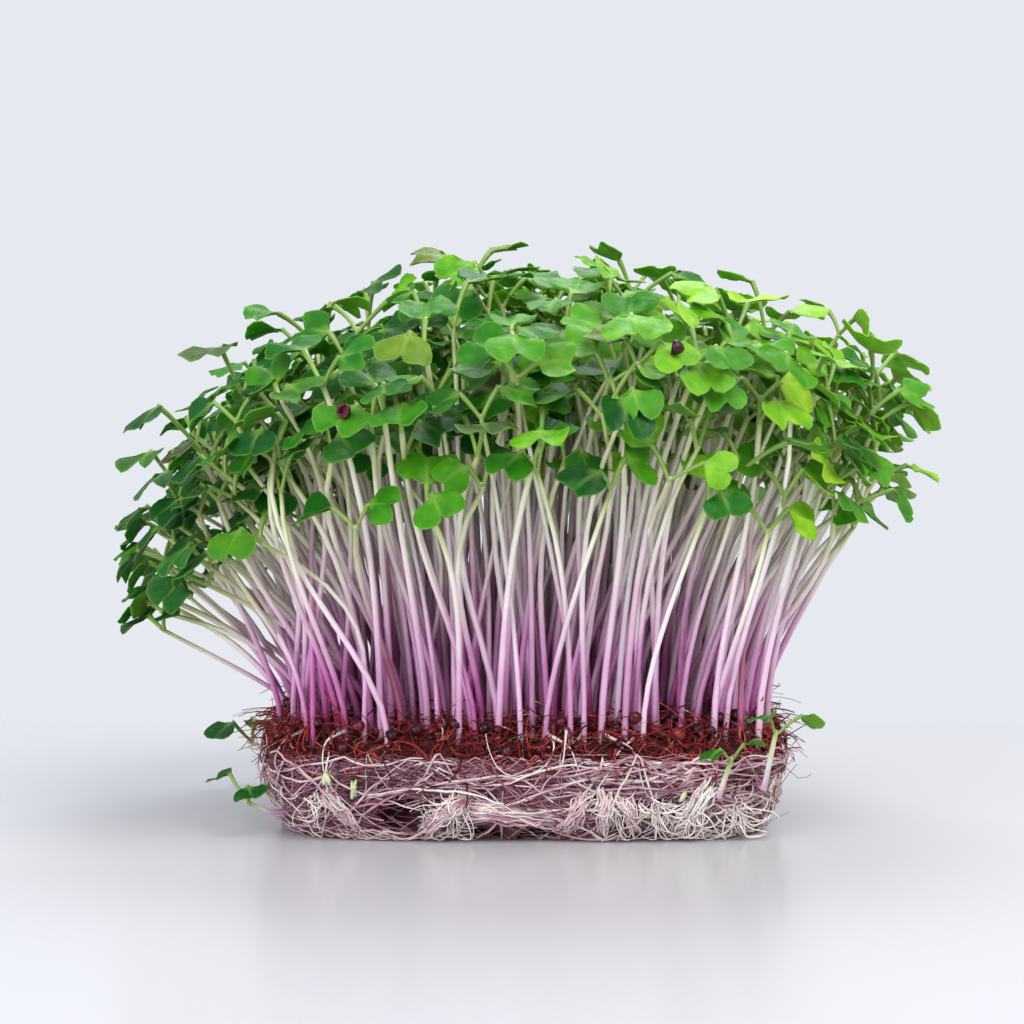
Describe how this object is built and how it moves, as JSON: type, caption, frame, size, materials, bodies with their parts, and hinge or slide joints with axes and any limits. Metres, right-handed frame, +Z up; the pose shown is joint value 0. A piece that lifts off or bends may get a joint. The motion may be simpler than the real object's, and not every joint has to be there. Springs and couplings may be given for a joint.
{
  "type": "block of radish microgreens on its root mat",
  "caption": "Dense dome of radish microgreens with pink stems and heart-shaped green seed leaves, rooted in coir on a felted root mat that stands flat.",
  "frame": {"origin": "centre of the root mat's flat underside", "axes": "+Z up along the stems, +X along the block's longer side, -Y is the front that the picture shows"},
  "size_m": [0.178, 0.1581, 0.1207],
  "materials": {
    "root_felt": "felted fine roots, dusty pink to cream white, matt",
    "coir": "damp red-brown coir fibres, matt",
    "seedling": "waxy green seed leaf, soft sheen",
    "stem": "smooth moist stem, magenta at the foot and greenish white at the top",
    "seed": "smooth dark maroon seed coat"
  },
  "bodies": {
    "root": {"root_mat": "root_felt", "growing_medium": "coir", "seedlings_01": "seedling", "seedlings_02": "seedling", "seedlings_03": "seedling", "seedlings_04": "seedling", "seedlings_05": "seedling", "seedlings_06": "seedling", "seedlings_07": "seedling", "seedlings_08": "seedling", "seedlings_09": "seedling", "seedlings_10": "seedling", "seedlings_11": "seedling", "seedlings_12": "seedling", "seedlings_13": "seedling", "seedlings_14": "seedling", "seedlings_15": "seedling", "seedlings_16": "seedling", "seedlings_17": "seedling", "seedlings_18": "seedling", "seedlings_19": "seedling", "seedlings_20": "seedling", "seedlings_21": "seedling", "seedlings_22": "seedling", "seedlings_23": "seedling", "seedlings_24": "seedling", "seedlings_25": "seedling", "seedlings_26": "seedling", "seedlings_27": "seedling", "seedlings_28": "seedling", "seedlings_29": "seedling", "seedlings_30": "seedling", "seedlings_31": "seedling", "seedlings_32": "seedling", "seedlings_33": "seedling", "seedlings_34": "seedling", "seedlings_35": "seedling", "sprout_front_right": "seedling", "sprout_front": "seedling", "sprout_left": "seedling", "sprout_back_left": "seedling"}
  },
  "joints": []
}
